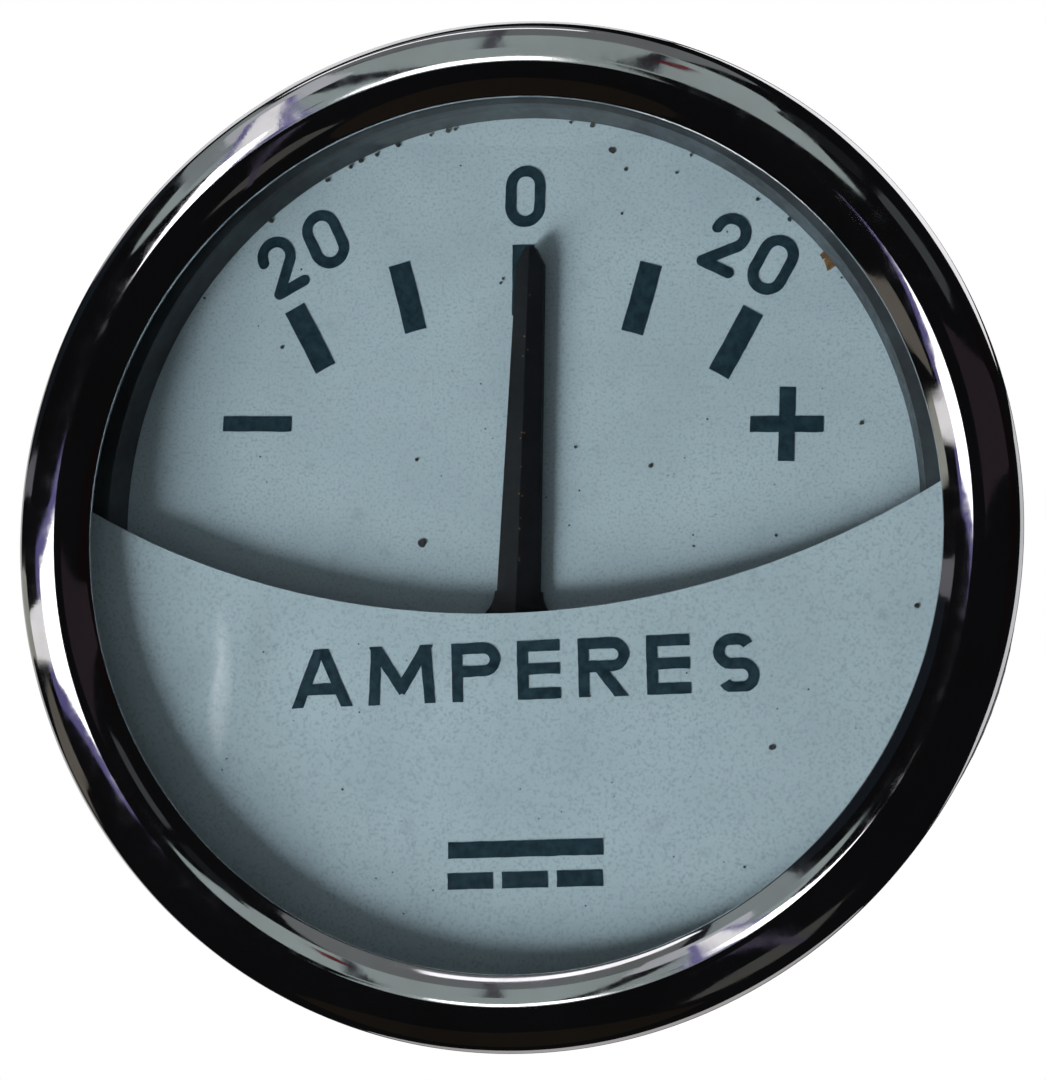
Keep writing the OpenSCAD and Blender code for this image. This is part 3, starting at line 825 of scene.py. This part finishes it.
def straight(pen, start, end):
    """One straight stroke with square ends, from point to point."""
    run = Vector(end) - Vector(start)
    square_stroke(pen, start[0], start[1], math.degrees(math.atan2(run.y, run.x)), run.length)


def cut_level(shape, level):
    """Cuts a sign off level with a line, outside which nothing stays, and closes the cut."""
    cut = bmesh.ops.bisect_plane(
        shape, geom=shape.verts[:] + shape.edges[:] + shape.faces[:],
        plane_co=(0, level, 0), plane_no=(0, math.copysign(1, level), 0), clear_outer=True,
    )["geom_cut"]
    bmesh.ops.holes_fill(shape, edges=of_kind(cut, bmesh.types.BMEdge), sides=0)


def letter(name):
    """Draws one capital, centred. Only the unit's letters are known."""
    pen = Pen(LETTER_STROKE)
    inset = LETTER_STROKE / 2
    top = CAP / 2
    over = top + 0.4  # how far a slanting stroke is drawn before it is cut
    cut = top + 0.002
    waist = 0.05
    left = -letter_width[name] / 2 + inset
    right = -left
    if name == "A":
        apex, bar_in, bar_at = 0.10, 0.45, -0.62
        lean = (over - top) * 1.35 / CAP
        straight(pen, (left - lean, -over), (-apex + lean, over))
        straight(pen, (right + lean, -over), (apex - lean, over))
        straight(pen, (left + bar_in, bar_at), (right - bar_in, bar_at))
    if name == "M":
        splay, notch, valley = 0.25, 0.05, (0.12, -0.95)
        straight(pen, (left, -over), (left + splay, over))
        straight(pen, (right, -over), (right - splay, over))
        straight(pen, (left + notch, top + 0.15), valley)
        straight(pen, (right - notch, top + 0.15), (-valley[0], valley[1]))
    if name in "PER":
        straight(pen, (left, -top), (left, top))
    if name in "PR":
        bowl = (top - inset - waist) / 2
        reach = right - left - bowl
        pen.start(left, top - inset, 0, round_end=False).forward(reach)
        pen.bend(bowl, -180).forward(reach).lift(round_end=False)
    if name == "R":
        knee, kick = 0.85, 0.12
        straight(pen, (left + knee, waist), (right + kick, -over))
    if name == "E":
        for height in (top - inset, waist, -top + inset):
            straight(pen, (left, height), (right + inset * 0.8, height))
    if name == "S":
        bowl = (CAP - LETTER_STROKE) / 4
        hook, flat, middle = bowl * 0.95, 0.42, 0.60
        tip_in, tip_down = 0.08, 0.40
        pen.start(right - tip_in, top - inset - tip_down, 120, round_end=False).bend(hook, 60)
        pen.forward(flat).bend(bowl, 180).forward(middle).bend(bowl, -180).forward(flat)
        pen.bend(hook, -60).lift(round_end=False)
    cut_level(pen.shape, cut)
    cut_level(pen.shape, -cut)
    return pen.shape


unit_word = "AMPERES"
word_width = 26.4
word_centre = Vector((0.60, -7.57, 0))
word_tilt = 2.2
gap = (word_width - sum(letter_width[name] for name in unit_word)) / (len(unit_word) - 1)
slope = Matrix.Rotation(math.radians(word_tilt), 3, "Z")
place = -word_width / 2
for number, name in enumerate(unit_word):
    spot = word_centre + slope @ Vector((place + letter_width[name] / 2, 0, 0))
    printed("letter_" + str(number + 1) + "_" + name, letter(name), spot, -word_tilt, mask_face)
    place += letter_width[name] + gap

# %% Sign for direct current
sign_at = Vector((1.05, -18.2))
bar_length, dash_length, sign_stroke = 8.8, 2.6, 0.9
half_gap, dash_spacing, dash_climb = 0.85, 3.1, 0.038
bar_at = (sign_at.x, sign_at.y + half_gap)
printed("sign_bar", minus_sign(bar_length, sign_stroke), bar_at, -word_tilt, mask_face)
for number, aside in enumerate((-dash_spacing, 0, dash_spacing)):
    spot = (sign_at.x + aside, sign_at.y - half_gap + aside * dash_climb)
    printed("sign_dash_" + str(number + 1), minus_sign(dash_length, sign_stroke), spot, -word_tilt, mask_face)

# %% [markdown]
# ## Dirt and age
#
# Decades have left dark specks on both plates, small burrs where the upper plate meets its ring,
# a brown chip where the paint lifted near the rim, and dust on the pointer.
# Each speck is a small lump of its own, so that it also stands in the mesh.
# The large ones have a place each. The fine dust is strewn by a seeded random draw, the same every time.


# %% Specks
SPECK_CORNERS = 9
CELLS_A_MM = 9
UNEVENNESS = 0.45
DUST_HEIGHT = 0.02


def speck(shape, x, y, size, face, height=0.05):
    """Adds one small lump with an uneven outline."""
    lump = bmesh.ops.create_circle(shape, cap_ends=True, segments=SPECK_CORNERS, radius=size)["verts"]
    for vert in lump:
        cell = Vector((vert.co.x * CELLS_A_MM + x, vert.co.y * CELLS_A_MM + y, size))
        vert.co *= 1 + UNEVENNESS * solid_noise.noise(cell)
    raised = bmesh.ops.extrude_face_region(shape, geom=lump[0].link_faces[:])["geom"]
    raised = of_kind(raised, bmesh.types.BMVert)
    bmesh.ops.translate(shape, vec=(0, 0, height), verts=raised)
    bmesh.ops.translate(shape, vec=(x, y, face), verts=lump + raised)


dust = random.Random(11)
dirt = mottled("dirt", linear(24, 26, 28), linear(58, 60, 60), 0.4, rough=(0.7, 0.9))
rust = mottled("rust_chip", linear(70, 48, 30), linear(120, 92, 60), 0.4, rough=(0.7, 0.9))
print(dirt.name, rust.name)

# %% Dirt on the upper plate
scale_specks = [
    (5.0, 21.7, 0.20), (5.8, 20.6, 0.10), (8.7, 20.3, 0.08), (13.3, 18.65, 0.11), (5.6, 18.1, 0.07),
    (-1.2, 14.6, 0.09), (-1.35, 14.35, 0.08), (7.4, 3.9, 0.13), (19.2, 6.1, 0.12), (3.1, 5.0, 0.09),
    (-5.7, -0.25, 0.26), (-6.1, 4.45, 0.10), (-14.2, 11.0, 0.10), (14.5, -0.05, 0.08), (9.9, -0.6, 0.07),
]
scale_dirt = bmesh.new()
for x, y, size in scale_specks:
    speck(scale_dirt, x, y, size, scale_face)
for grain in range(70):
    angle = dust.uniform(0, 2 * math.pi)
    reach = 21.5 * math.sqrt(dust.uniform(0, 1))
    x, y = reach * math.cos(angle), reach * math.sin(angle)
    mask_edge = -2 + 0.02 * x * x
    if y > mask_edge:
        speck(scale_dirt, x, y, dust.uniform(0.025, 0.06), scale_face, DUST_HEIGHT)
ring_x, ring_y, ring_radius = -0.4, 0.8, 22.75
for burr in range(16):
    angle = dust.uniform(math.radians(25), math.radians(155))
    reach = ring_radius + dust.uniform(-0.06, 0.04)
    x, y = ring_x + reach * math.cos(angle), ring_y + reach * math.sin(angle)
    speck(scale_dirt, x, y, dust.uniform(0.06, 0.15), scale_face, 0.10)
finish_piece("scale_dirt", scale_dirt, dirt)

# %% Dirt on the lower plate
mask_specks = [(14.75, -11.75, 0.17), (13.3, -18.2, 0.08), (22.6, -4.1, 0.14), (-9.5, -14.2, 0.07)]
mask_dirt = bmesh.new()
for x, y, size in mask_specks:
    speck(mask_dirt, x, y, size, mask_face)
for grain in range(60):
    angle = dust.uniform(math.pi, 2 * math.pi)
    reach = 22.3 * math.sqrt(dust.uniform(0, 1))
    x, y = reach * math.cos(angle), reach * math.sin(angle)
    if y < -6:
        speck(mask_dirt, x, y, dust.uniform(0.025, 0.055), mask_face, DUST_HEIGHT)
finish_piece("mask_dirt", mask_dirt, dirt)

# %% Rust chip and the pointer's dust
chip = bmesh.new()
speck(chip, 17.45, 15.05, 0.42, scale_face, 0.04)
speck(chip, 17.05, 15.40, 0.20, scale_face, 0.05)
finish_piece("rust_chip", chip, rust)

pointer_lean = 1.4
boss_height = 0.3  # the boss is the pointer's frontmost point, and stands above its ridge
sunk = 0.005
ridge_face = front_of("pointer") - boss_height - sunk
pointer_dust = bmesh.new()
for grain in range(14):
    x, y = on_arc(dust.uniform(8.5, 25.0), pointer_lean)
    speck(pointer_dust, x + dust.uniform(-0.17, 0.17), y, dust.uniform(0.03, 0.07), ridge_face, DUST_HEIGHT)
finish_piece("pointer_dust", pointer_dust, rust, body="movement")

# %% [markdown]
# ## The bezel
#
# The real bezel is a chromed sheet ring, spun to shape and rolled over the case's edge.
# The pen draws its section, and one full turn about the axis makes the ring.
# Its steps are finer than the solid's, so that the chrome mirrors the room without facets.
#
# The section is a chain in which each bend starts along the line where the last one ended.
# From the bead at the glass an inner slope climbs to the crest. A long flank falls to the shoulder,
# a skirt leads down from it, and a small roll turns in under the flange.

# %% Where the bezel's bends lie
SHEET = 0.45
LIP_R, BEZEL_R, BEZEL_H = 24.2, 28.5, 4.5
crest_r, flank_r, shoulder_r, roll_r = 0.55, 6.0, 0.9, 0.8
crest_out, flange_out = 1.85, 1.7
shoulder_down, roll_in = 1.15, 1.4
crest_at = Vector((LIP_R + crest_out, BEZEL_H - crest_r))
shoulder_at = Vector((BEZEL_R - shoulder_r, BEZEL_H - shoulder_down))
roll_at = Vector((BEZEL_R - roll_in, roll_r))


def heading_of(run):
    """The heading of a run on the drawing board, in degrees."""
    return math.degrees(math.atan2(run.y, run.x))


# the flank's centre lies at known distances from the centres of the two bends it joins
run = shoulder_at - crest_at
to_crest, to_shoulder = flank_r - crest_r, flank_r - shoulder_r
along = (to_crest**2 - to_shoulder**2 + run.length_squared) / (2 * run.length)
sink = math.sqrt(to_crest**2 - along**2)
unit = run.normalized()
flank_at = crest_at + unit * along - Vector((-unit.y, unit.x)) * sink
crest_end = heading_of(crest_at - flank_at)
flank_end = heading_of(shoulder_at - flank_at)

# the skirt touches the shoulder and the roll
skirt = roll_at - shoulder_at
skirt_end = heading_of(skirt) + math.degrees(math.acos((shoulder_r - roll_r) / skirt.length))
skirt_length = math.sqrt(skirt.length_squared - (shoulder_r - roll_r) ** 2)

# the inner slope swells a little: it leaves the bead steeply and meets the crest nearly level
bead_at = Vector((LIP_R + SHEET / 2, glass_face + SHEET / 2))
top_slope = 10
top_normal = math.radians(90 + top_slope)
slope_end = crest_at + (crest_r - SHEET / 2) * Vector((math.cos(top_normal), math.sin(top_normal)))
chord = slope_end - bead_at
bead_slope = 2 * heading_of(chord) - top_slope
swell_r = chord.length / (2 * math.sin(math.radians((bead_slope - top_slope) / 2)))
print("inner slope of radius", round(swell_r, 1), "and a skirt of", round(skirt_length, 2), "mm")

# %% Bezel
SECTION_STEP = 0.06
RING_STEPS = 288
sheet = Pen(SHEET, step=SECTION_STEP)
sheet.start(*bead_at, bead_slope).bend(swell_r, top_slope - bead_slope)
sheet.bend(crest_r - SHEET / 2, crest_end - 90 - top_slope)
sheet.bend(flank_r - SHEET / 2, flank_end - crest_end)
sheet.bend(shoulder_r - SHEET / 2, skirt_end - flank_end).forward(skirt_length)
sheet.bend(roll_r - SHEET / 2, -90 - skirt_end)
sheet.forward(sheet.place.x - LIP_R - flange_out)

# only the section's outline is turned into the ring
ring = sheet.shape
bmesh.ops.remove_doubles(ring, verts=ring.verts, dist=WELD)
outline = {edge for edge in ring.edges if edge.is_boundary}
bmesh.ops.delete(ring, geom=ring.faces[:], context="FACES_ONLY")
bmesh.ops.delete(ring, geom=[edge for edge in ring.edges if edge not in outline], context="EDGES")
bmesh.ops.delete(ring, geom=[vert for vert in ring.verts if not vert.link_edges], context="VERTS")
bmesh.ops.rotate(ring, cent=(0, 0, 0), matrix=Matrix.Rotation(math.radians(90), 3, "X"), verts=ring.verts)
bmesh.ops.spin(
    ring, geom=ring.verts[:] + ring.edges[:], cent=(0, 0, 0), axis=(0, 0, 1),
    angle=2 * math.pi, steps=RING_STEPS, use_merge=True, use_duplicate=False,
)
bezel = finish_piece("polished_bezel", ring, chrome, smooth=True)
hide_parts("bezel")

# %% [markdown]
# ## Smear on the glass
#
# An old wipe mark stands on the glass at the left. It is a very thin film with soft edges.
# Its strength fades away from its middle, and noise breaks it up.

# %% Smear
smear_x, smear_y = -16.4, -8.2
smear_wide, smear_high, smear_thick = 0.85, 4.8, 0.008
film_strength = 0.22
film = new_finish("smear_film", (0.80, 0.86, 0.88), 0.0, 0.8)
film_tree = film.node_tree
film_where = film_tree.nodes.new("ShaderNodeTexCoord")
film_centre = film_tree.nodes.new("ShaderNodeMapping")
film_centre.inputs["Scale"].default_value = (1 / (smear_wide * MM), 0.0, 1 / (smear_high * MM))
film_centre.inputs["Location"].default_value = (-smear_x / smear_wide, 0, -smear_y / smear_high)
film_fade = film_tree.nodes.new("ShaderNodeTexGradient")
film_fade.gradient_type = "SPHERICAL"
film_tree.links.new(film_where.outputs["Object"], film_centre.inputs["Vector"])
film_tree.links.new(film_centre.outputs["Vector"], film_fade.inputs["Vector"])
film_break = remap(film, noise(film, 0.9, stretch=(2.5, 1, 0.4)), 0.35, 0.6, 0.35, 1.0)
film_share = combine(film_tree, "MULTIPLY", film_fade.outputs["Fac"], film_break)
feed(film, remap(film, film_share, 0.0, 1.0, 0.0, film_strength), "Alpha")
smear = bmesh.new()
bmesh.ops.create_circle(smear, cap_ends=True, segments=48, radius=1)
bmesh.ops.scale(smear, vec=(smear_wide, smear_high, 1), verts=smear.verts)
raised = bmesh.ops.extrude_face_region(smear, geom=smear.faces[:])["geom"]
bmesh.ops.translate(smear, vec=(0, 0, smear_thick), verts=of_kind(raised, bmesh.types.BMVert))
bmesh.ops.translate(smear, vec=(smear_x, smear_y, glass_face), verts=smear.verts)
finish_piece("glass_smear", smear, film)

# %% [markdown]
# ## Screw threads
#
# The solids' studs are plain rods, because a helix is heavy in a solid and light in a mesh.
# Each is turned again here with a thinner core where its thread runs.
# A ridge with a flat crest is spun round the core and climbs by one pitch a turn.


# %% Threads
ROOT_SHARE = 0.86
HALF_ROOT, HALF_CREST = 0.46, 0.07  # as shares of the pitch
THREAD_STEPS = 24
ROD_STEPS = 48


def thread(shape, crest_r, pitch, low, high):
    """Winds a ridge round the z axis, from one height to another."""
    root_r = crest_r * ROOT_SHARE
    section = [(root_r, -HALF_ROOT), (crest_r, -HALF_CREST), (crest_r, HALF_CREST), (root_r, HALF_ROOT)]
    corners = [shape.verts.new((radius, 0, height * pitch)) for radius, height in section]
    first = shape.faces.new(corners)
    steps = round(THREAD_STEPS * (high - low) / pitch)
    made = bmesh.ops.spin(
        shape, geom=[first, *first.edges, *first.verts], cent=(0, 0, 0), axis=(0, 0, 1),
        dvec=(0, 0, pitch / THREAD_STEPS), angle=2 * math.pi * steps / THREAD_STEPS, steps=steps,
        use_merge=False, use_duplicate=False,
    )
    # the ridge is all that hangs together with its first section
    ridge = set(corners) | set(of_kind(made["geom_last"], bmesh.types.BMVert))
    reached = list(ridge)
    while reached:
        for edge in reached.pop().link_edges:
            for vert in edge.verts:
                if vert not in ridge:
                    ridge.add(vert)
                    reached.append(vert)
    bmesh.ops.translate(shape, vec=(0, 0, low), verts=list(ridge))


def stud(name, node, outline, crest_r, pitch, thread_length, finish):
    """Turns a stud from its outline, winds its thread and puts it in a solid's place."""
    low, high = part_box(node)
    front, tip = front_of(node), back_of(node)
    shape = bmesh.new()
    points = [(0, tip)] + [(radius, tip + up) for radius, up in outline]
    points = points + [(points[-1][0], front), (0, front)]
    corners = [shape.verts.new((radius, 0, height)) for radius, height in points]
    line = [shape.edges.new(pair) for pair in zip(corners, corners[1:])]
    bmesh.ops.spin(
        shape, geom=corners + line, cent=(0, 0, 0), axis=(0, 0, 1),
        angle=2 * math.pi, steps=ROD_STEPS, use_merge=True, use_duplicate=False,
    )
    bmesh.ops.remove_doubles(shape, verts=shape.verts, dist=0.001)
    run_in = 0.7 * pitch
    thread(shape, crest_r, pitch, tip + run_in, tip + thread_length)
    middle = Vector((low.x + high.x, low.z + high.z)) / (2 * MM)
    bmesh.ops.translate(shape, vec=(middle.x, middle.y, 0), verts=shape.verts)
    piece = finish_piece(name, shape, finish, smooth=True)
    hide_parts(node)


print("threads wind to the right")

# %% Terminal studs
# an outline runs from the tip forwards, each point a radius and a height above the tip
# a height behind the panel becomes a height above the tip when it is taken from the stud's length
terminal_length = -back_of("terminal_stud_left")
thread_starts, head_thick = 20.8, 1.78
thread_end = terminal_length - thread_starts
under_head = terminal_length + front_of("terminal_stud_left") - head_thick
terminal_outline = [
    (1.85, 0), (2.2, 0.35), (2.2, thread_end), (2.7, thread_end), (2.7, under_head), (4.2, under_head),
]
for side in ("left", "right"):
    stud("threaded_stud_" + side, "terminal_stud_" + side, terminal_outline, 2.49, 0.8, 11.0, brass)

# %% Bracket stud
bracket_length = -back_of("bracket_stud")
bracket_head_thick = 0.68
bracket_head = bracket_length + front_of("bracket_stud") - bracket_head_thick
collar_back, collar_front = bracket_length - 20.6, bracket_length - 19.62
bracket_outline = [
    (1.45, 0), (1.72, 0.27), (1.72, 15.0), (2.0, 15.3), (2.0, collar_back),
    (3.4, collar_back), (3.4, collar_front), (2.0, collar_front), (2.0, bracket_head), (3.5, bracket_head),
]
stud("threaded_bracket_stud", "bracket_stud", bracket_outline, 1.98, 0.7, 14.6, bright_steel)
